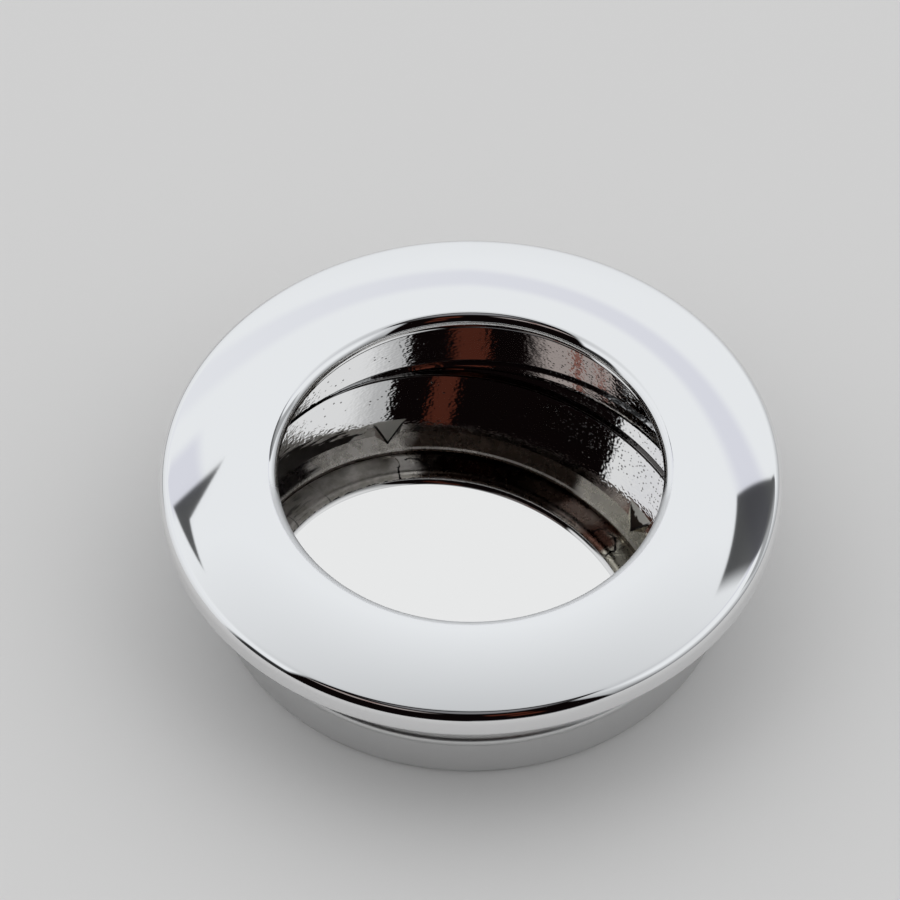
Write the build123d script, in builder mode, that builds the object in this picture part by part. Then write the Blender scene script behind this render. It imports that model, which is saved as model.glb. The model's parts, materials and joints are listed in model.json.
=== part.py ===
"""Recessed pull handle: a round flush pull that is let into the face of a sliding door.

Frame: +Z points out of the door, through the opening. The origin is the centre of the flat back.
The recess is deepest on the +X side, because its floor slopes down that way. Sizes are in mm.
"""
from build123d import *
import math
import os

# ---------------------------------------------------------------- driving dimensions
# flange, the part that stays on the face of the door
flange_diameter = 50.0
flange_foot_rounding = 0.5      # radius between the underside and the side of the rim
flange_rim_height = 1.6         # top of the rim's straight side, above the underside
flange_rim_rounding = 0.85      # radius between the side and the crowned face
flange_crown_height = 3.05      # top of the lip, above the underside

# barrel, the part that goes into the bore in the door
barrel_diameter = 42.2
barrel_wall = 1.25              # at the back end, where the recess is widest
barrel_depth = 10.1
barrel_end_rounding = 0.8
barrel_root_fillet = 0.3
barrel_relief = 0.2             # on the radius, from the flange down to the bead

# bead round the barrel, which grips the bore
bead_depth = 5.9                # its crest, below the flange's underside
bead_height = 0.15              # above the barrel
bead_radius = 0.6

# rolled lip, which a finger hooks behind, and the recess under it
wall_draft = 5.0                # degrees, the recess narrows towards the lip
lip_overhang = 3.5              # from the top of the recess's wall in to the opening
lip_thickness = 1.7
land_step = 0.3                 # from the lip's flat underside down to the cone round it
cone_width = 1.0
cone_drop = 0.3                 # where the cone meets the wall, below the flange's underside
wall_line_depth = 7.35          # V-shaped line round the wall, below the flange's underside
wall_line_size = 0.4            # its depth, and its height on each side of its bottom

# marks of the split core that forms the undercut: its segments meet at small gussets in the
# corner over the wall, and each has an ejector pin that leaves a round mark on the lip
core_segments = 5
core_first_angle = 36.0         # from +X towards +Y, so that one meets over the shallow side
gusset_width = 3.0              # along the wall
gusset_drop = 1.6               # down the wall from the corner
gusset_reach = 0.5              # in along the cone, on the radius
ejector_mark_diameter = 1.5
ejector_mark_depth = 0.12

# back plate, whose top face is the sloping floor of the recess
plate_edge_thickness = 0.4      # at the deep side, where the plate is thinnest
floor_slope = 4.65              # degrees, down towards +X
plate_clearance = 0.05          # joint between the plate and the wall, on the radius
plate_top_arris = 0.1
plate_seam_chamfer = 0.2        # on both sides of the joint at the back

# ---------------------------------------------------------------- derived values
flange_radius = flange_diameter / 2
barrel_radius = barrel_diameter / 2
relief_radius = barrel_radius - barrel_relief

underside_z = barrel_depth
crown_z = underside_z + flange_crown_height
lip_radius = lip_thickness / 2
lip_centre_z = crown_z - lip_radius
lip_under_z = crown_z - lip_thickness
land_z = lip_under_z - land_step
cone_foot_z = underside_z - cone_drop
wall_line_z = underside_z - wall_line_depth

# The wall of the recess and the side of the plate taper alike: the plate goes in from behind.
wall_taper = math.tan(math.radians(wall_draft))
cavity_foot_r = barrel_radius - barrel_wall
seam_r = cavity_foot_r - plate_seam_chamfer * wall_taper
wall_line_foot_r = cavity_foot_r - (wall_line_z - wall_line_size) * wall_taper
wall_line_bottom_r = cavity_foot_r - wall_line_z * wall_taper + wall_line_size
wall_line_top_r = cavity_foot_r - (wall_line_z + wall_line_size) * wall_taper
cavity_top_r = cavity_foot_r - cone_foot_z * wall_taper
land_radius = cavity_top_r - cone_width
opening_radius = cavity_top_r - lip_overhang
lip_centre_r = opening_radius + lip_radius
plate_foot_r = cavity_foot_r - plate_clearance
plate_edge_r = plate_foot_r - plate_edge_thickness * wall_taper
floor_centre_z = plate_edge_thickness + plate_edge_r * math.tan(math.radians(floor_slope))


# The crown is one arc. It leaves the lip level and runs tangent into the rim's rounding.
rim_centre_r = flange_radius - flange_rim_rounding
rim_centre_z = underside_z + flange_rim_height
crown_run = rim_centre_r - lip_centre_r
crown_fall = crown_z - rim_centre_z
crown_radius = (crown_run**2 + crown_fall**2 - flange_rim_rounding**2) / (
    2 * (crown_fall - flange_rim_rounding)
)
crown_centre_z = crown_z - crown_radius
crown_angle = math.atan2(crown_run, rim_centre_z - crown_centre_z)
crown_end_r = lip_centre_r + crown_radius * math.sin(crown_angle)
crown_end_z = crown_centre_z + crown_radius * math.cos(crown_angle)

# The bead is one arc. It starts on the barrel below its crest and ends on the relief above.
bead_z = underside_z - bead_depth
bead_lower_half = math.sqrt(bead_radius**2 - (bead_radius - bead_height) ** 2)
bead_upper_half = math.sqrt(bead_radius**2 - (bead_radius - bead_height - barrel_relief) ** 2)

# The gusset starts at the corner of the cone and the wall, and its apex lies on the cone.
cone_rise = (land_z - cone_foot_z) / cone_width
gusset_root = barrel_wall / 2   # how far the gusset is set into the wall, to join it
gusset_foot_z = cone_foot_z - gusset_drop
gusset_foot_r = cavity_foot_r - gusset_foot_z * wall_taper
gusset_apex_r = cavity_top_r - gusset_reach
gusset_apex_z = cone_foot_z + gusset_reach * cone_rise
ejector_circle_radius = (lip_centre_r + land_radius) / 2

os.makedirs("parts", exist_ok=True)

# ---------------------------------------------------------------- gusset where core segments meet
with BuildPart() as core_gusset:
    with BuildSketch(Plane.XZ) as gusset_section:
        with BuildLine():
            Polyline(
                (gusset_apex_r, gusset_apex_z),
                (gusset_foot_r, gusset_foot_z),
                (gusset_foot_r + gusset_root, gusset_foot_z),
                (gusset_foot_r + gusset_root, gusset_apex_z),
                close=True,
            )
        make_face()
    extrude(amount=gusset_width, both=True)
    with BuildSketch(Plane.XY.offset(gusset_foot_z)) as gusset_plan:
        with BuildLine():
            Polyline(
                (gusset_apex_r, 0),
                (gusset_foot_r, gusset_width / 2),
                (gusset_foot_r + gusset_root, gusset_width / 2),
                (gusset_foot_r + gusset_root, -gusset_width / 2),
                (gusset_foot_r, -gusset_width / 2),
                close=True,
            )
        make_face()
    extrude(amount=gusset_apex_z - gusset_foot_z, mode=Mode.INTERSECT)

# ---------------------------------------------------------------- casting: flange, lip and barrel
with BuildPart() as handle_body:
    with BuildSketch(Plane.XZ) as body_section:
        with BuildLine() as body_outline:
            # back end and outside of the barrel
            Line((cavity_foot_r + plate_seam_chamfer, 0), (barrel_radius - barrel_end_rounding, 0))
            TangentArc(
                (barrel_radius - barrel_end_rounding, 0),
                (barrel_radius, barrel_end_rounding),
                tangent=(1, 0),
            )
            Line((barrel_radius, barrel_end_rounding), (barrel_radius, bead_z - bead_lower_half))
            ThreePointArc(
                (barrel_radius, bead_z - bead_lower_half),
                (barrel_radius + bead_height, bead_z),
                (relief_radius, bead_z + bead_upper_half),
            )
            Line(
                (relief_radius, bead_z + bead_upper_half),
                (relief_radius, underside_z - barrel_root_fillet),
            )
            TangentArc(
                (relief_radius, underside_z - barrel_root_fillet),
                (relief_radius + barrel_root_fillet, underside_z),
                tangent=(0, 1),
            )
            # underside and rim of the flange
            Line(
                (relief_radius + barrel_root_fillet, underside_z),
                (flange_radius - flange_foot_rounding, underside_z),
            )
            TangentArc(
                (flange_radius - flange_foot_rounding, underside_z),
                (flange_radius, underside_z + flange_foot_rounding),
                tangent=(1, 0),
            )
            Line((flange_radius, underside_z + flange_foot_rounding), (flange_radius, rim_centre_z))
            TangentArc((flange_radius, rim_centre_z), (crown_end_r, crown_end_z), tangent=(0, 1))
            # crowned face, rising to the lip, and the lip's round edge
            TangentArc((lip_centre_r, crown_z), (crown_end_r, crown_end_z), tangent=(1, 0))
            ThreePointArc(
                (lip_centre_r, crown_z),
                (opening_radius, lip_centre_z),
                (lip_centre_r, lip_under_z),
            )
            # underside of the lip, the cone behind it, and the tapering wall of the recess
            Polyline(
                (lip_centre_r, lip_under_z),
                (land_radius, lip_under_z),
                (land_radius, land_z),
                (cavity_top_r, cone_foot_z),
                (wall_line_top_r, wall_line_z + wall_line_size),
                (wall_line_bottom_r, wall_line_z),
                (wall_line_foot_r, wall_line_z - wall_line_size),
                (seam_r, plate_seam_chamfer),
                (cavity_foot_r + plate_seam_chamfer, 0),
            )
        make_face()
    revolve(axis=Axis.Z)
    with PolarLocations(0, core_segments, start_angle=core_first_angle):
        add(core_gusset.part)
    with BuildSketch(Plane.XY.offset(lip_under_z)) as ejector_marks:
        with PolarLocations(ejector_circle_radius, core_segments, start_angle=core_first_angle):
            Circle(ejector_mark_diameter / 2)
    extrude(amount=ejector_mark_depth, mode=Mode.SUBTRACT)

# ---------------------------------------------------------------- back plate with the sloping floor
floor_plane = Plane(origin=(0, 0, floor_centre_z), x_dir=(1, 0, 0), z_dir=(0, 0, 1)).rotated(
    (0, floor_slope, 0)
)

with BuildPart() as back_plate:
    with BuildSketch(Plane.XZ):
        with BuildLine():
            Polyline(
                (0, 0),
                (plate_foot_r - plate_seam_chamfer, 0),
                (seam_r - plate_clearance, plate_seam_chamfer),
                (cavity_top_r - plate_clearance, cone_foot_z),
                (0, cone_foot_z),
                close=True,
            )
        make_face()
    revolve(axis=Axis.Z)
    split(bisect_by=floor_plane, keep=Keep.BOTTOM)
    chamfer(back_plate.faces().filter_by(floor_plane).edges(), length=plate_top_arris)

handle_body.part.label = "handle_body"
export_step(handle_body.part, "parts/handle_body.step")

back_plate.part.label = "back_plate"
export_step(back_plate.part, "parts/back_plate.step")
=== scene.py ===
"""Looks for the round recessed pull: chrome finishes, pale floor, studio surroundings, camera."""

import json
import math

import bmesh
import bpy
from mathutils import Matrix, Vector


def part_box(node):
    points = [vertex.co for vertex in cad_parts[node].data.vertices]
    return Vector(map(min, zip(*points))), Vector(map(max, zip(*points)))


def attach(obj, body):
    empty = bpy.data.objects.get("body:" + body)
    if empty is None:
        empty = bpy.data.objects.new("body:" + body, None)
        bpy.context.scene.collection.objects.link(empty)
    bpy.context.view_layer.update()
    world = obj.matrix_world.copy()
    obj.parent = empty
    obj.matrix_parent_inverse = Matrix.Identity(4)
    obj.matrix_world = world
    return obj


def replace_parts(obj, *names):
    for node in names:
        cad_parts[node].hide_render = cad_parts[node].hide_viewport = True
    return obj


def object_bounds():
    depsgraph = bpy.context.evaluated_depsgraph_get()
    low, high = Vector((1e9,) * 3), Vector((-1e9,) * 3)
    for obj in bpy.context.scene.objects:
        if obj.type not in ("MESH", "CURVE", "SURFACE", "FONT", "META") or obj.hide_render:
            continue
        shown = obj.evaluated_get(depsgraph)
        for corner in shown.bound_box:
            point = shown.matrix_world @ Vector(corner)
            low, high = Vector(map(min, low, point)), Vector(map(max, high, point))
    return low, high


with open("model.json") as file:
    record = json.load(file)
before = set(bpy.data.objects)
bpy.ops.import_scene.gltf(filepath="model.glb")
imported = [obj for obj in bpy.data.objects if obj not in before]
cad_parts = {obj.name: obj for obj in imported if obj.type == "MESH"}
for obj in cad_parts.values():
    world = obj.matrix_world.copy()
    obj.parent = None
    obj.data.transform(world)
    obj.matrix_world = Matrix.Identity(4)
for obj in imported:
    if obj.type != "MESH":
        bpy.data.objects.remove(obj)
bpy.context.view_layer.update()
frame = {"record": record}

MM = 0.001
DEGREES = 180.0 / math.pi       # in one radian


# ------------------------------------------------------------------ node helpers
# the sockets of a mix node for its factor and two colours, or its factor and two numbers
COLOUR_SOCKETS, COLOUR_RESULT = (0, 6, 7), 2
NUMBER_SOCKETS = (0, 2, 3)


class Tree:
    """Short names for the few kinds of node that the materials and the world are made of."""

    def __init__(self, tree):
        self.tree = tree
        tree.nodes.clear()

    def node(self, kind, **settings):
        made = self.tree.nodes.new(kind)
        for name, value in settings.items():
            setattr(made, name, value)
        return made

    def feed(self, socket, value):
        if isinstance(value, bpy.types.NodeSocket):
            self.tree.links.new(value, socket)
        else:
            socket.default_value = value

    def math(self, operation, *values, clamp=False):
        made = self.node("ShaderNodeMath", operation=operation, use_clamp=clamp)
        for socket, value in zip(made.inputs, values):
            self.feed(socket, value)
        return made.outputs[0]

    def each(self, operation, values):
        """The first value joined with each of the others in turn."""
        joined = values[0]
        for value in values[1:]:
            joined = self.math(operation, joined, value)
        return joined

    def product(self, *values):
        return self.each("MULTIPLY", values)

    def largest(self, *values):
        return self.each("MAXIMUM", values)

    def minus(self, first, second):
        return self.math("SUBTRACT", first, second)

    def length(self, x, y):
        return self.math("SQRT", self.math("ADD", self.product(x, x), self.product(y, y)))

    def shaken(self, value, noise, reach):
        """The value moved by a noise that runs from 0 to 1, over this reach in all."""
        return self.math("MULTIPLY_ADD", self.minus(noise, 0.5), reach, value)

    def ramp(self, value, low, high, out_low=0.0, out_high=1.0, shape="SMOOTHSTEP"):
        made = self.node("ShaderNodeMapRange", interpolation_type=shape, clamp=True)
        for socket, number in zip(made.inputs, (value, low, high, out_low, out_high)):
            self.feed(socket, number)
        return made.outputs[0]

    def above(self, value, edge, soft):
        """1 above the edge and 0 below it, changing over soft on each side."""
        return self.ramp(value, edge - soft, edge + soft)

    def below(self, value, edge, soft):
        return self.ramp(value, edge - soft, edge + soft, 1.0, 0.0)

    def window(self, value, low, high, soft_low, soft_high=None):
        """1 between low and high, falling to 0 over the soft widths outside them."""
        soft_high = soft_low if soft_high is None else soft_high
        rising = self.ramp(value, low - soft_low, low)
        falling = self.ramp(value, high, high + soft_high, 1.0, 0.0)
        return self.product(rising, falling)

    def mix(self, factor, first, second):
        """Two colours."""
        made = self.node("ShaderNodeMix", data_type="RGBA")
        for socket, value in zip(COLOUR_SOCKETS, (factor, first, second)):
            self.feed(made.inputs[socket], value)
        return made.outputs[COLOUR_RESULT]

    def blend(self, factor, first, second):
        """Two numbers."""
        made = self.node("ShaderNodeMix", data_type="FLOAT")
        for socket, value in zip(NUMBER_SOCKETS, (factor, first, second)):
            self.feed(made.inputs[socket], value)
        return made.outputs[0]

    def noise(self, vector, scale, detail=2.0, roughness=0.5, distortion=0.0):
        made = self.node("ShaderNodeTexNoise")
        self.feed(made.inputs["Vector"], vector)
        made.inputs["Scale"].default_value = scale
        made.inputs["Detail"].default_value = detail
        made.inputs["Roughness"].default_value = roughness
        made.inputs["Distortion"].default_value = distortion
        return made.outputs["Fac"]

    def cells(self, vector, scale):
        """Scattered cells: a number from 0 to 1 for each, and the distance from its centre."""
        made = self.node("ShaderNodeTexVoronoi", feature="F1")
        self.feed(made.inputs["Vector"], vector)
        made.inputs["Scale"].default_value = scale
        return self.separate(made.outputs["Color"])[0], made.outputs["Distance"]

    def combine(self, x, y, z):
        made = self.node("ShaderNodeCombineXYZ")
        for socket, value in zip(made.inputs, (x, y, z)):
            self.feed(socket, value)
        return made.outputs[0]

    def separate(self, vector):
        made = self.node("ShaderNodeSeparateXYZ")
        self.feed(made.inputs[0], vector)
        return made.outputs

    def stretch(self, vector, factors):
        made = self.node("ShaderNodeVectorMath", operation="MULTIPLY")
        self.feed(made.inputs[0], vector)
        made.inputs[1].default_value = factors
        return made.outputs[0]

    def bump(self, height, distance, strength=1.0):
        made = self.node("ShaderNodeBump")
        self.feed(made.inputs["Height"], height)
        self.feed(made.inputs["Strength"], strength)
        made.inputs["Distance"].default_value = distance
        return made.outputs[0]


def grey(level):
    return (level, level, level, 1.0)


def new_tree(name):
    material = bpy.data.materials.new(name)
    material.use_nodes = True
    return material, Tree(material.node_tree)


# ------------------------------------------------------------------ surroundings
# They are painted by direction: azimuth is 0 towards the camera and positive towards +X, and
# elevation is above the horizon, both in degrees. A white tent stands round the object. Its
# front is open to a dark room, and its top has a dark opening too.
# A span is (low, high, softness of its edges), and where the edges differ, two softnesses.
# A patch has a span of azimuth and one of elevation. A slanting edge is (at, slope, start): it
# passes start where the other angle has the value at.
DIFFUSE_TENT, DIFFUSE_FRONT = 1.15, 0.50     # the room in front of the open tent gives less light
DIFFUSE_FRONT_SPAN = (-50.0, 40.0, 20.0)
SEEN_WHITE = 1.0
HORIZON_SOFT = 1.0

OPENING_LEFT, OPENING_RIGHT = -58.0, 43.0
OPENING_FOOT = 6.0
OPENING_SOFT = 1.5
CORNER_LEFT, CORNER_RIGHT = 90.0, 52.0       # how round its upper corners are
CEILING_EDGE, CEILING_TILT = 73.0, 1.5       # the ceiling's opening is higher on the right

TENT_TINT = (0.965, 0.990, 1.010, 1.0)
LAVENDER = (0.86, 0.87, 1.0, 1.0)
TENT_LOW, TENT_HIGH = 0.97, 0.68
TENT_GREYING = (53.0, 70.0)                  # elevations between which the cloth turns greyer
GREY_END, GREY_END_STRENGTH = (20.0, 47.0, 20.0), 0.40

CLOTH_FULL = 36.0                            # elevation above which the cloth is at its full level
LEFT_CURTAIN = (-84.0, -74.0)                # from here to the front, a black curtain on the left
LEFT_FOOT, CURTAIN_FOOT = 0.82, 0.03         # levels at the horizon
CURTAIN_TOP = 26.0
RIGHT_FEET = ((80.0, 0.22), (115.0, 0.40), (180.0, 0.78))     # azimuths and levels at the horizon
SIDE_SOFT = 1.0                              # where left and right meet, behind the open front

# dark things behind the object: a low strip and a wedge on the left, a board on the right
STRIP, STRIP_LEVEL = ((-158.0, -125.0, 10.0), (0.0, 4.0, 3.0)), 0.25
WEDGE_UPPER, WEDGE_LOWER = (49.5, 5.33, -165.5), (51.0, 0.65, -157.5)
WEDGE_RIGHT, WEDGE_FOOT = -155.1, 49.2
WEDGE_SOFT, WEDGE_LEVEL = 0.2, 0.10
BOARD_RIGHT, BOARD_FOOT = (49.2, -0.9, 163.3), (158.5, 0.52, 48.2)
BOARD_LEFT, BOARD_LEFT_LEAST = (46.0, 2.6, 131.0), 104.0
BOARD_TOP, BOARD_SOFT = 59.0, 0.25
BOARD_FADE = (-5.0, 3.0)                     # on its left edge
BOARD_SHADE = (128.0, 160.0, 0.42, 0.085)    # grey on the side, darker behind

# a lavender fold in the cloth, by its elevation straight behind the object, and a patch of it
FOLD_HEIGHT, FOLD_BAND = 40.6, (-1.0, 1.0, 2.0)
FOLD_RISE = (-90.0, 90.0, 0.0, 0.41)         # for each degree of turn away from straight behind
FOLD_STRENGTH = (-20.0, 20.0, 0.22, 0.60)    # by the turn away, from left to right
FOLD_SHADE = 0.17
FOLD_PATCH, FOLD_PATCH_STRENGTH = ((-161.0, -154.0, 3.0), (46.6, 49.0, 1.5)), 0.6

ROOM_BLACK = (0.0035, 0.0020, 0.0021, 1.0)
ROOM_RED = (0.075, 0.020, 0.012, 1.0)
ROOM_DULL = (0.40, 0.355, 0.34, 1.0)
ROOM_STREAK = (0.24, 0.11, 0.09, 1.0)
OVERHEAD = (0.24, 0.24, 0.25, 1.0)
RED_PATCHES = (((15.0, 22.0, 4.0), (35.0, 43.0, 3.0)), ((9.0, 21.0, 5.0), (53.0, 62.0, 4.0)))
DULL_PATCH = ((-77.0, -32.0, 4.0, 20.0), (63.0, 69.0, 3.0))
STREAK_PATCHES = (((-51.0, -47.0, 2.0), (64.0, 68.0, 3.0)), ((-68.5, -66.0, 1.5), (64.0, 68.0, 3.0)))
OVERHEAD_RISE = (75.0, 85.0)


def sky_angles(t):
    """Azimuth and elevation in degrees, and the sine of the azimuth."""
    x, y, z = t.separate(t.node("ShaderNodeTexCoord").outputs["Generated"])
    azimuth = t.product(t.math("ARCTAN2", x, t.product(y, -1.0)), DEGREES)
    elevation = t.product(t.math("ARCSINE", z), DEGREES)
    least_level = 1e-4      # straight up, where no direction is sideways
    return azimuth, elevation, t.math("DIVIDE", x, t.largest(t.length(x, y), least_level))


def slant(t, value, edge):
    at, slope, start = edge
    return t.math("MULTIPLY_ADD", t.minus(value, at), slope, start)


def within(t, soft, *margins):
    """1 where every margin is above 0, with edges this soft."""
    return t.above(t.each("MINIMUM", margins), 0.0, soft)


def patches(t, azimuth, elevation, *places):
    """1 in any of the places, each a span of azimuth and one of elevation."""
    return t.largest(*(t.product(t.window(azimuth, *across), t.window(elevation, *up))
                       for across, up in places))


def dark_opening(t, azimuth, elevation, sine):
    """The open front, joined to the opening in the ceiling with round corners."""
    sides = t.math("MINIMUM", t.minus(azimuth, OPENING_LEFT), t.minus(OPENING_RIGHT, azimuth))
    front = t.math("MINIMUM", sides, t.minus(elevation, OPENING_FOOT))
    ceiling = t.minus(elevation, t.math("MULTIPLY_ADD", sine, CEILING_TILT, CEILING_EDGE))
    corner = t.ramp(azimuth, OPENING_LEFT, OPENING_RIGHT, CORNER_LEFT, CORNER_RIGHT, "LINEAR")
    return t.above(t.math("SMOOTH_MAX", front, ceiling, corner), 0.0, OPENING_SOFT)


def cloth_foot(t, azimuth, elevation):
    """The cloth darkens towards the horizon: a little behind, more on the sides, and nearly to
    black on the left, where the black has a height of its own."""
    on_right = t.above(azimuth, 0.0, SIDE_SOFT)
    right_foot = RIGHT_FEET[0][1]
    for (start, level), (end, next_level) in zip(RIGHT_FEET, RIGHT_FEET[1:]):
        right_foot = t.math("ADD", t.ramp(azimuth, start, end, 0.0, next_level - level), right_foot)
    foot = t.blend(on_right, t.ramp(azimuth, *LEFT_CURTAIN, LEFT_FOOT, CURTAIN_FOOT), right_foot)
    start = t.product(t.ramp(azimuth, *LEFT_CURTAIN, 0.0, CURTAIN_TOP), t.minus(1.0, on_right))
    rise = t.math("DIVIDE", t.minus(elevation, start), t.minus(CLOTH_FULL, start), clamp=True)
    return t.blend(rise, foot, 1.0)


def dark_wedge(t, azimuth, elevation):
    """A thin dark wedge on the left behind the object."""
    left = t.math("MINIMUM", slant(t, elevation, WEDGE_UPPER), slant(t, elevation, WEDGE_LOWER))
    return within(t, WEDGE_SOFT, t.minus(azimuth, left), t.minus(WEDGE_RIGHT, azimuth),
                  t.minus(elevation, WEDGE_FOOT))


def dark_board(t, azimuth, elevation):
    """A dark board on the right behind the object, which narrows as it rises."""
    inside = within(t, BOARD_SOFT, t.minus(slant(t, elevation, BOARD_RIGHT), azimuth),
                    t.minus(elevation, slant(t, azimuth, BOARD_FOOT)), t.minus(BOARD_TOP, elevation))
    left = t.largest(slant(t, elevation, BOARD_LEFT), BOARD_LEFT_LEAST)
    return t.product(inside, t.ramp(t.minus(azimuth, left), *BOARD_FADE))


def lavender_fold(t, azimuth, elevation):
    """A pale lavender fold, which rises on the right, and a patch of it by the wedge."""
    turn = t.minus(180.0, t.math("ABSOLUTE", azimuth))
    middle = t.math("ADD", t.product(turn, t.ramp(azimuth, *FOLD_RISE, "LINEAR")), FOLD_HEIGHT)
    strength = t.ramp(t.product(turn, t.math("SIGN", azimuth)), *FOLD_STRENGTH)
    fold = t.product(t.window(t.minus(elevation, middle), *FOLD_BAND), strength)
    return t.largest(fold, t.product(patches(t, azimuth, elevation, FOLD_PATCH), FOLD_PATCH_STRENGTH))


def tent_shades(t, azimuth, elevation):
    """Colour of the white cloth, with its fold and the few dark things behind the object."""
    level = t.ramp(elevation, *TENT_GREYING, TENT_LOW, TENT_HIGH, "LINEAR")
    # the cloth is greyer where it ends on the right of the open front
    level = t.product(level, t.minus(1.0, t.product(t.window(azimuth, *GREY_END), GREY_END_STRENGTH)))
    level = t.product(level, cloth_foot(t, azimuth, elevation))
    level = t.blend(patches(t, azimuth, elevation, STRIP), level, STRIP_LEVEL)
    level = t.blend(dark_wedge(t, azimuth, elevation), level, WEDGE_LEVEL)
    level = t.blend(dark_board(t, azimuth, elevation), level, t.ramp(azimuth, *BOARD_SHADE))
    fold = lavender_fold(t, azimuth, elevation)
    cloth = t.mix(t.product(fold, FOLD_SHADE), t.mix(fold, TENT_TINT, LAVENDER), grey(0.0))
    return t.mix(level, grey(0.0), cloth)


def room_shades(t, azimuth, elevation):
    """The dark room: nearly black, with red-brown things, a dull grey one and thin red edges,
    and a weak lamp straight overhead."""
    room = t.mix(patches(t, azimuth, elevation, *RED_PATCHES), ROOM_BLACK, ROOM_RED)
    room = t.mix(patches(t, azimuth, elevation, DULL_PATCH), room, ROOM_DULL)
    room = t.mix(patches(t, azimuth, elevation, *STREAK_PATCHES), room, ROOM_STREAK)
    return t.mix(t.ramp(elevation, *OVERHEAD_RISE), room, OVERHEAD)


def build_world():
    """Glossy rays see the painted surroundings, the camera a plain white, and matt surfaces get
    plain soft light."""
    world = bpy.data.worlds.new("studio")
    bpy.context.scene.world = world
    world.use_nodes = True
    t = Tree(world.node_tree)
    azimuth, elevation, sine = sky_angles(t)
    opening = dark_opening(t, azimuth, elevation, sine)
    shown = t.mix(opening, tent_shades(t, azimuth, elevation), room_shades(t, azimuth, elevation))
    # below the horizon, where the floor ends, the surroundings are plain
    shown = t.mix(t.above(elevation, 0.0, HORIZON_SOFT), grey(TENT_LOW), shown)
    soft_light = t.mix(t.window(azimuth, *DIFFUSE_FRONT_SPAN), grey(DIFFUSE_TENT), grey(DIFFUSE_FRONT))

    path = t.node("ShaderNodeLightPath")
    seen = t.math("ADD", path.outputs["Is Glossy Ray"], path.outputs["Is Transmission Ray"], clamp=True)
    colour = t.mix(seen, soft_light, shown)
    colour = t.mix(path.outputs["Is Camera Ray"], colour, grey(SEEN_WHITE))
    background = t.node("ShaderNodeBackground")
    t.feed(background.inputs["Color"], colour)
    t.feed(t.node("ShaderNodeOutputWorld").inputs["Surface"], background.outputs[0])
    world.cycles.sampling_method = "NONE"       # plain surroundings need no aimed rays


build_world()

# ------------------------------------------------------------------ floor
FLOOR_SIZE = 3.0
FLOOR_COLOUR = (0.66, 0.66, 0.66, 1.0)
FLOOR_ROUGHNESS, FLOOR_SPECULAR = 0.9, 0.1


def build_floor():
    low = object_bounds()[0]
    half = FLOOR_SIZE / 2
    mesh = bpy.data.meshes.new("floor")
    corners = [(-half, -half), (half, -half), (half, half), (-half, half)]
    mesh.from_pydata([(x, y, low[2]) for x, y in corners], [], [(0, 1, 2, 3)])
    floor = bpy.data.objects.new("floor", mesh)
    bpy.context.collection.objects.link(floor)
    material, t = new_tree("floor_paper")
    surface = t.node("ShaderNodeBsdfPrincipled")
    surface.inputs["Base Color"].default_value = FLOOR_COLOUR
    surface.inputs["Roughness"].default_value = FLOOR_ROUGHNESS
    surface.inputs["Specular IOR Level"].default_value = FLOOR_SPECULAR
    t.feed(t.node("ShaderNodeOutputMaterial").inputs["Surface"], surface.outputs[0])
    mesh.materials.append(material)


build_floor()

# ------------------------------------------------------------------ form, in mm as in the frame
# The same form as the solids, with more facets, because a mirror finish shows each one.
FLANGE_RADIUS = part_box("handle_body")[1].x / MM
CROWN_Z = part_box("handle_body")[1].z / MM
BARREL_RADIUS = frame["record"]["mounts"][0]["dims"]["r_mm"]
UNDERSIDE_Z = frame["record"]["mounts"][1]["pos_m"][2] / MM
FLANGE_FOOT_ROUNDING = 0.5
FLANGE_RIM_HEIGHT = 1.6
FLANGE_RIM_ROUNDING = 0.85
BARREL_WALL = 1.25
BARREL_END_ROUNDING = 0.8
BARREL_ROOT_FILLET = 0.3
BARREL_RELIEF = 0.2
BEAD_DEPTH, BEAD_HEIGHT, BEAD_RADIUS = 5.9, 0.15, 0.6
WALL_TAPER = math.tan(math.radians(5.0))
LIP_OVERHANG, LIP_THICKNESS = 3.5, 1.7
LAND_STEP, CONE_WIDTH, CONE_DROP = 0.3, 1.0, 0.3
WALL_LINE_DEPTH, WALL_LINE_SIZE = 7.35, 0.4
CORE_SEGMENTS, CORE_FIRST_ANGLE = 5, 36.0
GUSSET_WIDTH, GUSSET_DROP, GUSSET_REACH = 3.0, 1.6, 0.5
EJECTOR_MARK_RADIUS, EJECTOR_MARK_DEPTH = 0.75, 0.12
PLATE_EDGE, PLATE_CLEARANCE, PLATE_ARRIS, PLATE_SEAM = 0.4, 0.05, 0.1, 0.2
FLOOR_SLOPE = math.tan(math.radians(4.65))

FOOT_R = BARREL_RADIUS - BARREL_WALL
RELIEF_R = BARREL_RADIUS - BARREL_RELIEF
CONE_FOOT_Z = UNDERSIDE_Z - CONE_DROP
WALL_LINE_Z = UNDERSIDE_Z - WALL_LINE_DEPTH
WALL_TOP_R = FOOT_R - CONE_FOOT_Z * WALL_TAPER
LAND_R = WALL_TOP_R - CONE_WIDTH
LIP_R = LIP_THICKNESS / 2
LIP_CENTRE_R = WALL_TOP_R - LIP_OVERHANG + LIP_R
LIP_CENTRE_Z = CROWN_Z - LIP_R
LIP_UNDER_Z = CROWN_Z - LIP_THICKNESS
LAND_Z = LIP_UNDER_Z - LAND_STEP
GUSSET_FOOT_Z = CONE_FOOT_Z - GUSSET_DROP
GUSSET_APEX_Z = CONE_FOOT_Z + GUSSET_REACH * (LAND_Z - CONE_FOOT_Z) / CONE_WIDTH
MARK_CIRCLE_R = (LIP_CENTRE_R + LAND_R) / 2

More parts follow.
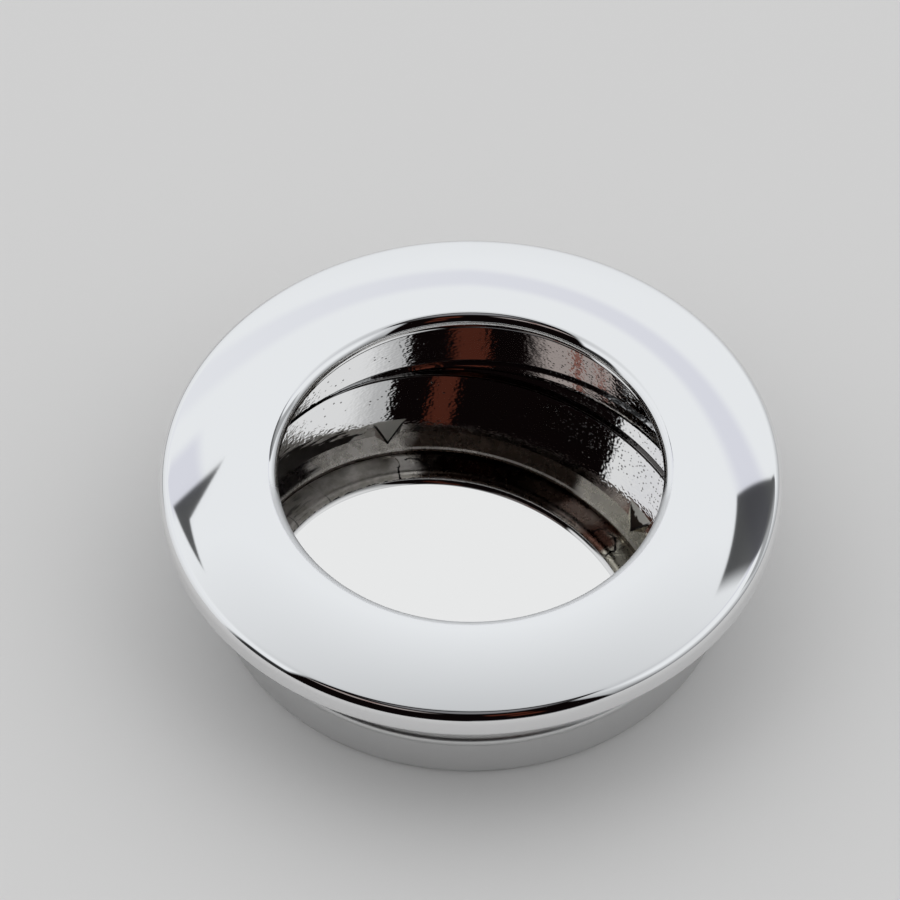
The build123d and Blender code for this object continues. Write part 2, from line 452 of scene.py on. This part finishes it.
SEGMENTS = 480          # round the axis
ARC_STEP = 6.0          # degrees, along the section
LEAST_ARC_STEPS = 4
CROWN_STEPS = 40
MARK_STEPS = 40
SHARP_ANGLE = math.radians(8.5)     # above the step of the arcs, below the lean of the core facets


def wall_r(z):
    return FOOT_R - z * WALL_TAPER


def arc(centre_r, centre_z, radius, start, end, steps=None):
    """Points of an arc in the section, with its angles in degrees from outwards towards up."""
    steps = steps or max(LEAST_ARC_STEPS, round(abs(end - start) / ARC_STEP))
    turn = [math.radians(start + (end - start) * step / steps) for step in range(steps + 1)]
    return [(centre_r + radius * math.cos(a), centre_z + radius * math.sin(a)) for a in turn]


def barrel_side():
    """Up the outside of the barrel: rounded back end, bead, relief and root fillet."""
    bead_r = BARREL_RADIUS + BEAD_HEIGHT - BEAD_RADIUS
    bead_low = -math.degrees(math.acos((BARREL_RADIUS - bead_r) / BEAD_RADIUS))
    bead_high = math.degrees(math.acos((RELIEF_R - bead_r) / BEAD_RADIUS))
    points = arc(BARREL_RADIUS - BARREL_END_ROUNDING, BARREL_END_ROUNDING, BARREL_END_ROUNDING, -90, 0)
    points += arc(bead_r, UNDERSIDE_Z - BEAD_DEPTH, BEAD_RADIUS, bead_low, bead_high)
    return points + arc(RELIEF_R + BARREL_ROOT_FILLET, UNDERSIDE_Z - BARREL_ROOT_FILLET,
                        BARREL_ROOT_FILLET, 180, 90)


def flange_side():
    """Round the flange: rounded foot, rim, and the crowned face that rises to the lip."""
    rim_r = FLANGE_RADIUS - FLANGE_RIM_ROUNDING
    rim_z = UNDERSIDE_Z + FLANGE_RIM_HEIGHT
    run, fall = rim_r - LIP_CENTRE_R, CROWN_Z - rim_z
    crown_r = (run**2 + fall**2 - FLANGE_RIM_ROUNDING**2) / (2 * (fall - FLANGE_RIM_ROUNDING))
    crown_angle = math.degrees(math.atan2(crown_r - fall, run))
    points = arc(FLANGE_RADIUS - FLANGE_FOOT_ROUNDING, UNDERSIDE_Z + FLANGE_FOOT_ROUNDING,
                 FLANGE_FOOT_ROUNDING, -90, 0)
    points += arc(rim_r, rim_z, FLANGE_RIM_ROUNDING, 0, crown_angle)
    return points + arc(LIP_CENTRE_R, CROWN_Z - crown_r, crown_r, crown_angle, 90, CROWN_STEPS)[1:]


def recess_side():
    """Round the lip's edge and down the recess: land, cone, and the wall with its line."""
    points = arc(LIP_CENTRE_R, LIP_CENTRE_Z, LIP_R, 90, 270)[1:]
    points += [(LAND_R, LIP_UNDER_Z), (LAND_R, LAND_Z), (WALL_TOP_R, CONE_FOOT_Z)]
    line_top, line_foot = WALL_LINE_Z + WALL_LINE_SIZE, WALL_LINE_Z - WALL_LINE_SIZE
    points += [(wall_r(line_top), line_top), (wall_r(WALL_LINE_Z) + WALL_LINE_SIZE, WALL_LINE_Z)]
    return points + [(wall_r(line_foot), line_foot), (wall_r(PLATE_SEAM), PLATE_SEAM)]


def new_mesh(name, points, faces):
    mesh = bpy.data.meshes.new(name)
    mesh.from_pydata([Vector(point) * MM for point in points], [], faces)
    mesh.polygons.foreach_set("use_smooth", [True] * len(mesh.polygons))
    return mesh


def circle(steps):
    return [math.tau * step / steps for step in range(steps)]


def lathe(name, section):
    """Turns a closed section round Z."""
    count = len(section)
    points = [(r * math.cos(a), r * math.sin(a), z) for a in circle(SEGMENTS) for r, z in section]
    faces = []
    for turn in range(SEGMENTS):
        here, there = turn * count, (turn + 1) % SEGMENTS * count
        for step in range(count):
            after = (step + 1) % count
            faces.append((here + step, there + step, there + after, here + after))
    return new_mesh(name, points, faces)


def turned(points, angle):
    c, s = math.cos(angle), math.sin(angle)
    return [(x * c - y * s, x * s + y * c, z) for x, y, z in points]


def core_hulls(name, corners):
    """Convex solids, each the hull of these corners turned to where two core segments meet."""
    shape = bmesh.new()
    for step in range(CORE_SEGMENTS):
        angle = math.radians(CORE_FIRST_ANGLE + 360 * step / CORE_SEGMENTS)
        points = [shape.verts.new(Vector(point) * MM) for point in turned(corners, angle)]
        bmesh.ops.convex_hull(shape, input=points)
    mesh = bpy.data.meshes.new(name)
    shape.to_mesh(mesh)
    shape.free()
    holder = bpy.data.objects.new(name, mesh)
    bpy.context.collection.objects.link(holder)
    return holder


def gussets():
    """Where two core segments meet: a small facet on the wall that rises to a point on the cone."""
    foot_r = wall_r(GUSSET_FOOT_Z)
    corners = [(r, side * GUSSET_WIDTH / 2, z) for r in (foot_r, foot_r + BARREL_WALL / 2)
               for side in (-1, 1) for z in (GUSSET_FOOT_Z, GUSSET_APEX_Z)]
    corners.append((WALL_TOP_R - GUSSET_REACH, 0, GUSSET_APEX_Z))
    return core_hulls("gussets", corners)


def ejector_marks():
    """Short round plugs that are cut from the underside of the lip."""
    ends = (LIP_UNDER_Z - EJECTOR_MARK_DEPTH, LIP_UNDER_Z + EJECTOR_MARK_DEPTH)
    rims = [(MARK_CIRCLE_R + EJECTOR_MARK_RADIUS * math.cos(a), EJECTOR_MARK_RADIUS * math.sin(a), z)
            for a in circle(MARK_STEPS) for z in ends]
    return core_hulls("ejector_marks", rims)


def evaluated(mesh, name, *modifiers):
    """The mesh with modifiers worked in, each given as its kind and its settings."""
    holder = bpy.data.objects.new(name, mesh)
    bpy.context.collection.objects.link(holder)
    for kind, settings in modifiers:
        made = holder.modifiers.new(kind, kind)
        for key, value in settings.items():
            setattr(made, key, value)
    bpy.context.view_layer.update()
    graph = bpy.context.evaluated_depsgraph_get()
    result = bpy.data.meshes.new_from_object(holder.evaluated_get(graph), depsgraph=graph)
    bpy.data.objects.remove(holder)
    return result


def shown(mesh, name, node, slot):
    """Puts a finished mesh in the place of its CAD node."""
    mesh.set_sharp_from_angle(angle=SHARP_ANGLE)
    mesh = evaluated(mesh, name, ("WEIGHTED_NORMAL", {"keep_sharp": True}))
    piece = bpy.data.objects.new(name, mesh)
    bpy.context.collection.objects.link(piece)
    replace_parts(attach(piece, "root"), node)
    return piece


def build_body():
    section = [(FOOT_R + PLATE_SEAM, 0.0)] + barrel_side() + flange_side() + recess_side()
    added, cut = gussets(), ejector_marks()
    mesh = evaluated(
        lathe("casting", section), "casting",
        ("BOOLEAN", {"operation": "UNION", "solver": "EXACT", "object": added}),
        ("BOOLEAN", {"operation": "DIFFERENCE", "solver": "EXACT", "object": cut}))
    for helper in (added, cut):
        bpy.data.objects.remove(helper)
    mesh.polygons.foreach_set("use_smooth", [True] * len(mesh.polygons))
    return shown(mesh, "casting", "handle_body", "body_chrome")


def plate_side(angle):
    """The plate's side tapers with the wall, and its top is cut by the sloping floor."""
    foot_r = FOOT_R - PLATE_CLEARANCE
    centre_z = PLATE_EDGE + (foot_r - PLATE_EDGE * WALL_TAPER) * FLOOR_SLOPE
    slope = FLOOR_SLOPE * math.cos(angle)
    edge_r = (foot_r - WALL_TAPER * centre_z) / (1 - WALL_TAPER * slope)
    edge_z = centre_z - edge_r * slope
    return [(foot_r - PLATE_SEAM, 0.0), (foot_r - PLATE_SEAM * WALL_TAPER, PLATE_SEAM),
            (edge_r + PLATE_ARRIS * WALL_TAPER, edge_z - PLATE_ARRIS),
            (edge_r - PLATE_ARRIS, edge_z + PLATE_ARRIS * slope)]


def build_plate():
    sides = [(angle, plate_side(angle)) for angle in circle(SEGMENTS)]
    rings = range(len(sides[0][1]))
    points = [(side[ring][0] * math.cos(a), side[ring][0] * math.sin(a), side[ring][1])
              for ring in rings for a, side in sides]
    top = rings[-1] * SEGMENTS
    faces = [list(reversed(range(SEGMENTS))), list(range(top, top + SEGMENTS))]
    for ring in rings[:-1]:
        for turn in range(SEGMENTS):
            here, there = ring * SEGMENTS + turn, ring * SEGMENTS + (turn + 1) % SEGMENTS
            faces.append((here, there, there + SEGMENTS, here + SEGMENTS))
    return shown(new_mesh("plate", points, faces), "plate", "back_plate", "floor_mirror")


body, plate = build_body(), build_plate()

# ------------------------------------------------------------------ materials
# Lengths are in mm. Angles are in degrees round the axis, from +X, with 90 on the far side from
# the camera. A span is (low, high, softness of its edges). A noise is (grain, detail, roughness),
# where either of the last two can be left out, and grain is in cells per mm.
CHROME = (0.83, 0.83, 0.835, 1.0)
MIRROR = (0.855, 0.84, 0.825, 1.0)
# satin chrome of the barrel and underside: a real finish, but darker than polished chrome as painted
# shade for the shaded floor it reflects
SATIN_SHADED = (0.70, 0.70, 0.70, 1.0)
AS_CAST = (0.97, 0.94, 0.91, 1.0)
AS_CAST_DULL = (0.72, 0.70, 0.65, 1.0)
# a dark brown: painted shade on the far side under the lip, and the darker upper part of some core
# facets
DARK_BROWN = (0.055, 0.040, 0.032, 1.0)
# a dark for real dirt in the pits and the scored rings, and for painted shade in the wall line, along
# the facet edges, in the corner on the left and where the polish ends
DIRT_AND_SHADE_DARK = (0.035, 0.030, 0.030, 1.0)
FACET = (0.88, 0.87, 0.82, 1.0)
RED_BROWN = (0.16, 0.060, 0.040, 1.0)
EDGE_BROWN = (0.07, 0.05, 0.04, 1.0)
OLIVE = (0.86, 0.84, 0.70, 1.0)

# where the zones of the casting end
FACES_PART_R, FACES_PART_SOFT = FOOT_R + 0.5, 0.05      # within the barrel's wall
ROUND_END_Z = LIP_UNDER_Z + 0.42        # the lip is left as cast up to here, and polished beyond
ROUND_END_SOFT = 0.03
SATIN_TOP_Z, SATIN_TOP_SOFT = UNDERSIDE_Z + 0.15, 0.10
WALL_TOP_Z, WALL_TOP_SOFT = CONE_FOOT_Z - 0.02, 0.02
WALL_SKIN, WALL_SKIN_SOFT = -0.025, 0.010               # the core facets stand further in
LAND_TOP_Z, LAND_TOP_SOFT = LAND_Z + 0.05, 0.05

# painted shade in the wall line: along its bottom, along its upper edge, and thinner on its slopes
LINE_BOTTOM, LINE_BOTTOM_SOFT = 0.09, 0.05
LINE_EDGE = (WALL_LINE_SIZE - 0.06, WALL_LINE_SIZE + 0.04, 0.04)
LINE_HALF_SOFT = 0.05
LINE_SLOPES, LINE_SLOPES_SOFT = WALL_LINE_SIZE - 0.085, 0.035
LINE_LOWER_SHADE, LINE_UPPER_SHADE = 0.45, 0.9

# core marks: dull facets with painted shadows along their slanting edges, which fade towards their foot
FACET_ENDS_SOFT = 0.05
FACET_INSET = 0.1
FACET_EDGE = (-0.06, 0.12, 0.06)
FACET_EDGE_FADE = (0.1, 0.5)            # above the facet's foot
FACET_DARK_ANGLE, FACET_DARK_ANGLE_SOFT = 65.0, 5.0                 # the facets below this angle are darker above a ragged line
FACET_DARK_FOOT_Z, FACET_DARK_FOOT_SOFT, FACET_DARK_RAGGED = CONE_FOOT_Z - 0.8, 0.1, 3.0

# ragged broken rings that the ejector pins have scored, as angle and radius from the axis
PIN_RINGS = ((39.0, 16.2), (102.0, 16.1), (180.0, 16.2), (252.0, 16.2), (324.0, 16.2))
PIN_RING_R, PIN_RING_HALF, PIN_RING_SOFT = 1.3, 0.07, 0.05
PIN_RING_SHAKE, PIN_RING_SHAKE_NOISE = 0.9, (1.1, 3.0, 0.6)
PIN_RING_GAPS, PIN_RING_GAPS_SOFT, PIN_RING_GAPS_NOISE = 0.44, 0.04, (0.8, 1.0)

# fine straight scratches, each kind as its turn round the axis and its grain
SCRATCH_STRETCH = (0.10, 2.2, 0.3)
SCRATCH_LEVEL, SCRATCH_SOFT = 0.72, 0.02                # the noise above this is a scratch
SCRATCH_DETAIL, SCRATCH_ROUGHNESS, SCRATCH_BEND = 2.0, 0.6, 0.15
CAST_SCRATCHES, CAST_SCRATCH_STRENGTH = ((35.0, 0.9), (-50.0, 0.7)), 0.6
FLOOR_SCRATCHES = (20.0, 0.5)

# the as-cast zone behind the lip
MOTTLE_NOISE, MOTTLE_RANGE = (0.9, 3.0, 0.65), (0.35, 0.65)
PATCH_NOISE, PATCH_SHAKE = (0.26, 2.0, 0.6), 20.0
OLIVE_SPAN, OLIVE_STRENGTH = (-30.0, 30.0, 32.0), 0.75
RUST_SPAN, RUST_DEPTH = (41.0, 60.0, 4.0), (0.35, 0.60, 0.45, 0.95)
# painted shade on the far side, in the undercut under the lip
FAR_SIDE_SHADE_SPAN = (57.0, 98.0, 6.0)
SCORED_SPAN, SCORED_DEPTH = (144.0, 158.0, 12.0), (0.50, 0.62, 0.0, 0.6)
SCORED_STRETCH, SCORED_NOISE = (0.16, 1.6, 1.0), (3.2, 2.0, 0.6)
STEP_LINE, STEP_LINE_STRENGTH = (LAND_R - 0.03, LAND_R + 0.03, 0.03), 0.9
# a painted highlight on the cone beside the step of the land
HIGHLIGHT_LINE, HIGHLIGHT_LINE_STRENGTH = (LAND_R + 0.12, LAND_R + 0.19, 0.04), 0.5
# dashes of painted shade where the lip's polished round ends
DASHES = (ROUND_END_Z - 0.03, ROUND_END_Z + 0.10, 0.02)
DASHES_NOISE, DASHES_RAGGED = (2.6, 2.0, 0.6), 0.45

# painted shade that reaches from the corner down the wall on the left, and up the cone
CORNER_SHADE_STRETCH, CORNER_SHADE_NOISE = (0.16, 1.0, 1.0), (2.6, 2.0, 0.6)
CORNER_SHADE_FOOT = (112.0, 146.0, 9.7, 5.9)   # its foot comes down the wall from one angle to the other
CORNER_SHADE_FOOT_FADE, CORNER_SHADE_FOOT_RAGGED, CORNER_SHADE_END_RAGGED = 0.25, 4.0, 14.0
CORNER_SHADE_WALL_SPAN, CORNER_SHADE_CONE_SPAN = (118.0, 150.0, 8.0), (135.0, 150.0, 8.0)
CORNER_SHADE_WALL_TOP_Z, CORNER_SHADE_WALL_TOP_SOFT = CONE_FOOT_Z - 0.05, 0.05
CORNER_SHADE_CONE_TOP_Z, CORNER_SHADE_CONE_TOP_SOFT = LAND_Z - 0.2, 0.2

# the wall is plated as cast, with a fine orange peel that is longer round than up, and pits
PEEL_STRETCH, PEEL_NOISE, PEEL_DEPTH = (1.0, 1.0, 1.3), (3.8, 0.0), 0.0085
WAVE_NOISE, WAVE_SHARE = (1.3, 1.0), 1.5
PIT_RADIUS, PIT_SOFT, PIT_SHARE_SOFT = 0.30, 0.06, 0.01
FEW_PITS, MANY_PITS = (3.4, 0.025), (4.1, 0.39)         # grain, and share of cells with a pit
MANY_PITS_SPAN, MANY_PITS_TOP_Z, MANY_PITS_SOFT = (0.0, 66.0, 14.0), 6.5, 0.3
PIT_DIRT = 0.75

# roughness of each finish
POLISHED_ROUGH, PLATED_WALL_ROUGH = 0.03, 0.035
CAST_ROUGH = (0.3, 0.7, 0.20, 0.34)     # by the mottle
LIP_SPAN, LIP_ROUGH = (112.0, 160.0, 12.0), 0.5
FACET_ROUGH, SLOPES_ROUGH, SATIN_ROUGH, GROOVE_ROUGH = 0.5, 0.12, 0.32, 0.45
WORN_SPAN, WORN_R, WORN_SOFT, WORN_ROUGH = (-166.0, -14.0, 12.0), LIP_CENTRE_R - 0.1, 0.1, 0.6

# the mirror floor: haze, a hint of a wave, and specks in few of the scattered cells
FLOOR_HAZE_NOISE, FLOOR_HAZE = (0.3, 2.0), (0.3, 0.7, 0.008, 0.022)
FLOOR_WAVE_NOISE, FLOOR_WAVE_DEPTH = (0.18, 1.0), 0.0004
FLOOR_SCRATCH_ROUGH = 0.03
SPECK_GRAIN, SPECK_RARITY, SPECK_RARITY_SOFT = 0.26, 0.91, 0.01
SPECK_RADIUS, SPECK_SOFT = 0.024, 0.006


def chrome_surface(t, colour, roughness, normal):
    surface = t.node("ShaderNodeBsdfPrincipled")
    surface.inputs["Metallic"].default_value = 1.0
    t.feed(surface.inputs["Base Color"], colour)
    t.feed(surface.inputs["Roughness"], roughness)
    t.feed(surface.inputs["Normal"], normal)
    t.feed(t.node("ShaderNodeOutputMaterial").inputs["Surface"], surface.outputs[0])


def place_in_mm(t):
    return t.stretch(t.node("ShaderNodeTexCoord").outputs["Object"], (1 / MM, 1 / MM, 1 / MM))


class Zones:
    """Where a point of the casting lies: its radius, height and angle, and masks from 0 to 1."""

    def __init__(self, t, place):
        x, y, self.height = t.separate(place)
        self.radius = t.length(x, y)
        self.angle = t.product(t.math("ARCTAN2", y, x), DEGREES)
        inner = t.below(self.radius, FACES_PART_R, FACES_PART_SOFT)
        self.inside = t.product(inner, t.below(self.height, ROUND_END_Z, ROUND_END_SOFT))
        self.outside = t.product(t.minus(1.0, inner), t.below(self.height, SATIN_TOP_Z, SATIN_TOP_SOFT))
        # how far the point lies outside the plain taper of the wall
        beyond = t.minus(self.radius, t.math("MULTIPLY_ADD", self.height, -WALL_TAPER, FOOT_R))
        self.wall = t.product(self.inside, t.below(self.height, WALL_TOP_Z, WALL_TOP_SOFT),
                              t.above(beyond, WALL_SKIN, WALL_SKIN_SOFT))
        self.cast = t.minus(self.inside, self.wall)
        self.above_land = t.above(self.height, LAND_TOP_Z, LAND_TOP_SOFT)
        # lengths along the round, in from the axis and up, at the wall
        self.polar = t.combine(t.product(self.angle, WALL_TOP_R / DEGREES), self.radius, self.height)
        self.find_wall_line(t)
        self.find_core_marks(t)

    def find_wall_line(self, t):
        """Where shade is painted in the wall line: along its bottom and upper edge, and on its slopes.
        """
        off = t.math("ABSOLUTE", t.minus(self.height, WALL_LINE_Z))
        upper = t.above(self.height, WALL_LINE_Z, LINE_HALF_SOFT)
        edge = t.product(t.window(off, *LINE_EDGE), upper)
        bottom = t.below(off, LINE_BOTTOM, LINE_BOTTOM_SOFT)
        self.groove_shade = t.product(self.inside, t.largest(bottom, edge))
        slopes = t.product(self.inside, t.below(off, LINE_SLOPES, LINE_SLOPES_SOFT))
        self.slopes = t.product(slopes, t.blend(upper, LINE_LOWER_SHADE, LINE_UPPER_SHADE))

    def find_core_marks(self, t):
        """The facets where core segments meet, and painted shadows along their two slanting edges."""
        step = 360.0 / CORE_SEGMENTS
        off = t.math("ADD", self.angle, step / 2 - CORE_FIRST_ANGLE)
        off = t.minus(t.math("FLOORED_MODULO", off, step), step / 2)
        across = t.product(t.math("ABSOLUTE", off), WALL_TOP_R / DEGREES)
        half = t.ramp(self.height, GUSSET_FOOT_Z, GUSSET_APEX_Z, GUSSET_WIDTH / 2, 0.0, "LINEAR")
        inward = t.minus(half, across)
        tall = t.window(self.height, GUSSET_FOOT_Z, GUSSET_APEX_Z, FACET_ENDS_SOFT)
        self.facet = t.product(tall, t.ramp(inward, 0.0, FACET_INSET), self.inside)
        faded, full = (GUSSET_FOOT_Z + up for up in FACET_EDGE_FADE)
        self.facet_edge_shadow = t.product(tall, t.window(inward, *FACET_EDGE),
                                    t.ramp(self.height, faded, full), self.inside)


def scratches(t, place, turn, grain):
    """Fine straight scratches in one direction, 1 on a scratch."""
    turned_place = t.node("ShaderNodeVectorRotate", rotation_type="Z_AXIS")
    t.feed(turned_place.inputs["Vector"], place)
    turned_place.inputs["Angle"].default_value = math.radians(turn)
    long_cells = t.stretch(turned_place.outputs[0], SCRATCH_STRETCH)
    lines = t.noise(long_cells, grain, SCRATCH_DETAIL, SCRATCH_ROUGHNESS, SCRATCH_BEND)
    return t.above(lines, SCRATCH_LEVEL, SCRATCH_SOFT)


def pits(t, place, grain, share):
    """Small round pits, 1 in a pit."""
    number, distance = t.cells(place, grain)
    return t.product(t.below(number, share, PIT_SHARE_SOFT), t.below(distance, PIT_RADIUS, PIT_SOFT))


def pin_rings(t, place):
    """The rings on the underside of the lip, 1 on a ring."""
    x, y, _ = t.separate(place)
    shake = t.noise(place, *PIN_RING_SHAKE_NOISE)
    ring = (PIN_RING_R - PIN_RING_HALF, PIN_RING_R + PIN_RING_HALF, PIN_RING_SOFT)
    rings = []
    for angle, radius in PIN_RINGS:
        across = t.minus(x, radius * math.cos(math.radians(angle)))
        along = t.minus(y, radius * math.sin(math.radians(angle)))
        away = t.shaken(t.length(across, along), shake, PIN_RING_SHAKE)
        rings.append(t.window(away, *ring))
    unbroken = t.above(t.noise(place, *PIN_RING_GAPS_NOISE), PIN_RING_GAPS, PIN_RING_GAPS_SOFT)
    return t.product(t.largest(*rings), unbroken)


def tarnished_and_shaded(t, place, zone, mottle):
    """Grey mottled plate, olive on the right, with red-brown tarnish, and painted shade in the middle.
    """
    patch = t.noise(place, *PATCH_NOISE)
    uneven = t.shaken(zone.angle, patch, PATCH_SHAKE)
    colour = t.mix(t.ramp(mottle, *MOTTLE_RANGE), AS_CAST_DULL, AS_CAST)
    colour = t.mix(t.product(t.window(zone.angle, *OLIVE_SPAN), OLIVE_STRENGTH), colour, OLIVE)
    rust = t.product(zone.above_land, t.window(uneven, *RUST_SPAN), t.ramp(patch, *RUST_DEPTH))
    colour = t.mix(rust, colour, RED_BROWN)
    # painted shade in the undercut on the far side
    return t.mix(t.window(uneven, *FAR_SIDE_SHADE_SPAN), colour, DARK_BROWN)


def cast_colour(t, place, zone, mottle):
    """The as-cast zone: tarnish with painted shade, scores, scratches, and lines, among them a painted
    highlight and dashes of painted shade.
    """
    colour = tarnished_and_shaded(t, place, zone, mottle)
    strokes = t.noise(t.stretch(zone.polar, SCORED_STRETCH), *SCORED_NOISE)
    scored = t.product(t.window(zone.angle, *SCORED_SPAN), t.ramp(strokes, *SCORED_DEPTH))
    colour = t.mix(scored, colour, EDGE_BROWN)
    marks = t.largest(*(scratches(t, place, *scratch) for scratch in CAST_SCRATCHES))
    colour = t.mix(t.product(marks, CAST_SCRATCH_STRENGTH), colour, EDGE_BROWN)
    # a painted highlight line and a brown line at the step of the land, and dashes of painted shade
    # where the polish ends
    highlight_line = t.product(t.window(zone.radius, *HIGHLIGHT_LINE), HIGHLIGHT_LINE_STRENGTH)
    step_line = t.product(t.window(zone.radius, *STEP_LINE), STEP_LINE_STRENGTH)
    colour = t.mix(step_line, t.mix(highlight_line, colour, AS_CAST), EDGE_BROWN)
    ragged = t.shaken(zone.height, t.noise(place, *DASHES_NOISE), DASHES_RAGGED)
    return t.mix(t.largest(t.window(ragged, *DASHES), pin_rings(t, place)), colour, DIRT_AND_SHADE_DARK)


def painted_corner_shade(t, zone):
    """Streaks of painted shade on the left, 1 where it is full."""
    strokes = t.noise(t.stretch(zone.polar, CORNER_SHADE_STRETCH), *CORNER_SHADE_NOISE)
    over_foot = t.minus(zone.height, t.ramp(zone.angle, *CORNER_SHADE_FOOT, "LINEAR"))
    over_foot = t.shaken(over_foot, strokes, CORNER_SHADE_FOOT_RAGGED)
    ragged_angle = t.shaken(zone.angle, strokes, CORNER_SHADE_END_RAGGED)
    on_wall = t.product(t.below(zone.height, CORNER_SHADE_WALL_TOP_Z, CORNER_SHADE_WALL_TOP_SOFT),
                        t.window(ragged_angle, *CORNER_SHADE_WALL_SPAN))
    on_cone = t.product(t.window(ragged_angle, *CORNER_SHADE_CONE_SPAN),
                        t.below(zone.height, CORNER_SHADE_CONE_TOP_Z, CORNER_SHADE_CONE_TOP_SOFT))
    return t.product(t.ramp(over_foot, 0.0, CORNER_SHADE_FOOT_FADE), t.largest(on_wall, on_cone), zone.inside)


def wall_pits(t, place, zone):
    """A few pits all over the wall, and many low on its right."""
    low = t.below(zone.height, MANY_PITS_TOP_Z, MANY_PITS_SOFT)
    many = t.product(t.window(zone.angle, *MANY_PITS_SPAN), low, pits(t, place, *MANY_PITS))
    return t.product(zone.wall, t.largest(pits(t, place, *FEW_PITS), many))


def body_colour(t, place, zone, mottle, pitted):
    """Polished chrome, satin chrome darkened as painted shade, the as-cast zone, the core marks, the
    dirt in the pits, and painted shade in the wall line, along the facet edges and in the corner.
    """
    colour = t.mix(zone.outside, CHROME, SATIN_SHADED)
    colour = t.mix(t.product(pitted, PIT_DIRT), colour, DIRT_AND_SHADE_DARK)
    colour = t.mix(zone.cast, colour, cast_colour(t, place, zone, mottle))
    # facets at angles below the limit are darker in their upper part, above a ragged line
    dark_top = t.product(t.below(zone.angle, FACET_DARK_ANGLE, FACET_DARK_ANGLE_SOFT), t.above(
        t.shaken(zone.height, mottle, FACET_DARK_RAGGED), FACET_DARK_FOOT_Z, FACET_DARK_FOOT_SOFT))
    colour = t.mix(zone.facet, colour, t.mix(dark_top, FACET, DARK_BROWN))
    # painted shade on the slopes of the wall line, then at its bottom and upper edge, along the facet
    # edges and in the corner on the left
    colour = t.mix(zone.slopes, colour, DIRT_AND_SHADE_DARK)
    return t.mix(t.largest(zone.groove_shade, zone.facet_edge_shadow, painted_corner_shade(t, zone)), colour, DIRT_AND_SHADE_DARK)


def body_roughness(t, zone, mottle):
    """Mirror smooth where polished, duller where cast, worn or dirty."""
    rough = t.blend(zone.wall, POLISHED_ROUGH, PLATED_WALL_ROUGH)
    rough = t.blend(zone.cast, rough, t.ramp(mottle, *CAST_ROUGH))
    lit_lip = t.product(zone.above_land, t.window(zone.angle, *LIP_SPAN), zone.cast)
    # a finger slides over the near edge of the opening, which is a little worn
    worn = t.product(t.below(zone.radius, WORN_R, WORN_SOFT), t.window(zone.angle, *WORN_SPAN))
    for mask, level in ((lit_lip, LIP_ROUGH), (zone.facet, FACET_ROUGH), (worn, WORN_ROUGH),
                        (zone.slopes, SLOPES_ROUGH), (zone.outside, SATIN_ROUGH),
                        (zone.groove_shade, GROOVE_ROUGH)):
        rough = t.blend(mask, rough, level)
    return rough


def body_material():
    material, t = new_tree("chrome_plate")
    place = place_in_mm(t)
    zone = Zones(t, place)
    pitted = wall_pits(t, place, zone)
    peel = t.noise(t.stretch(place, PEEL_STRETCH), *PEEL_NOISE)
    relief = t.math("MULTIPLY_ADD", t.noise(place, *WAVE_NOISE), WAVE_SHARE, peel)
    normal = t.bump(t.minus(relief, pitted), PEEL_DEPTH * MM, zone.inside)
    mottle = t.noise(place, *MOTTLE_NOISE)
    colour = body_colour(t, place, zone, mottle, pitted)
    chrome_surface(t, colour, body_roughness(t, zone, mottle), normal)
    return material


def mirror_material():
    """A mirror with a breath of haze, faint scratches and a few brown specks."""
    material, t = new_tree("mirror_plate")
    place = place_in_mm(t)
    haze = t.ramp(t.noise(place, *FLOOR_HAZE_NOISE), *FLOOR_HAZE)
    scratched = scratches(t, place, *FLOOR_SCRATCHES)
    rough = t.math("MULTIPLY_ADD", scratched, FLOOR_SCRATCH_ROUGH, haze)
    number, distance = t.cells(place, SPECK_GRAIN)
    speck = t.product(t.above(number, SPECK_RARITY, SPECK_RARITY_SOFT),
                      t.below(distance, SPECK_RADIUS, SPECK_SOFT))
    normal = t.bump(t.noise(place, *FLOOR_WAVE_NOISE), FLOOR_WAVE_DEPTH * MM)
    chrome_surface(t, t.mix(speck, MIRROR, EDGE_BROWN), rough, normal)
    return material


for piece, material in ((body, body_material()), (plate, mirror_material())):
    piece.data.materials.clear()
    piece.data.materials.append(material)

# ------------------------------------------------------------------ camera
CAMERA_TARGET = Vector((0.0, 0.0, 9.8 * MM))
CAMERA_DISTANCE = 0.5
CAMERA_ELEVATION = math.radians(50.829)
CAMERA_TILT = math.radians(-0.3826)
CAMERA_PAN = math.radians(0.1920)
CAMERA_LENS, CAMERA_SENSOR = 248.354, 36.0
MIRROR_BOUNCES, ALL_BOUNCES = 9, 12         # the recess mirrors itself several times


def build_camera():
    data = bpy.data.cameras.new("camera")
    data.lens = CAMERA_LENS
    data.sensor_width = CAMERA_SENSOR
    camera = bpy.data.objects.new("camera", data)
    bpy.context.collection.objects.link(camera)
    right = Vector((1.0, 0.0, 0.0))
    forward = Vector((0.0, math.cos(CAMERA_ELEVATION), -math.sin(CAMERA_ELEVATION)))
    up = right.cross(forward)
    tilted = forward * math.cos(CAMERA_TILT) - up * math.sin(CAMERA_TILT)
    up = up * math.cos(CAMERA_TILT) + forward * math.sin(CAMERA_TILT)
    aim = tilted * math.cos(CAMERA_PAN) - right * math.sin(CAMERA_PAN)
    side = right * math.cos(CAMERA_PAN) + tilted * math.sin(CAMERA_PAN)
    matrix = camera.matrix_world.copy()
    for row in range(3):
        matrix[row][0], matrix[row][1], matrix[row][2] = side[row], up[row], -aim[row]
    matrix.translation = CAMERA_TARGET - forward * CAMERA_DISTANCE
    camera.matrix_world = matrix
    bpy.context.scene.camera = camera


build_camera()
scene = bpy.context.scene
scene.view_settings.view_transform = "Standard"
scene.cycles.max_bounces = ALL_BOUNCES
scene.cycles.glossy_bounces = MIRROR_BOUNCES
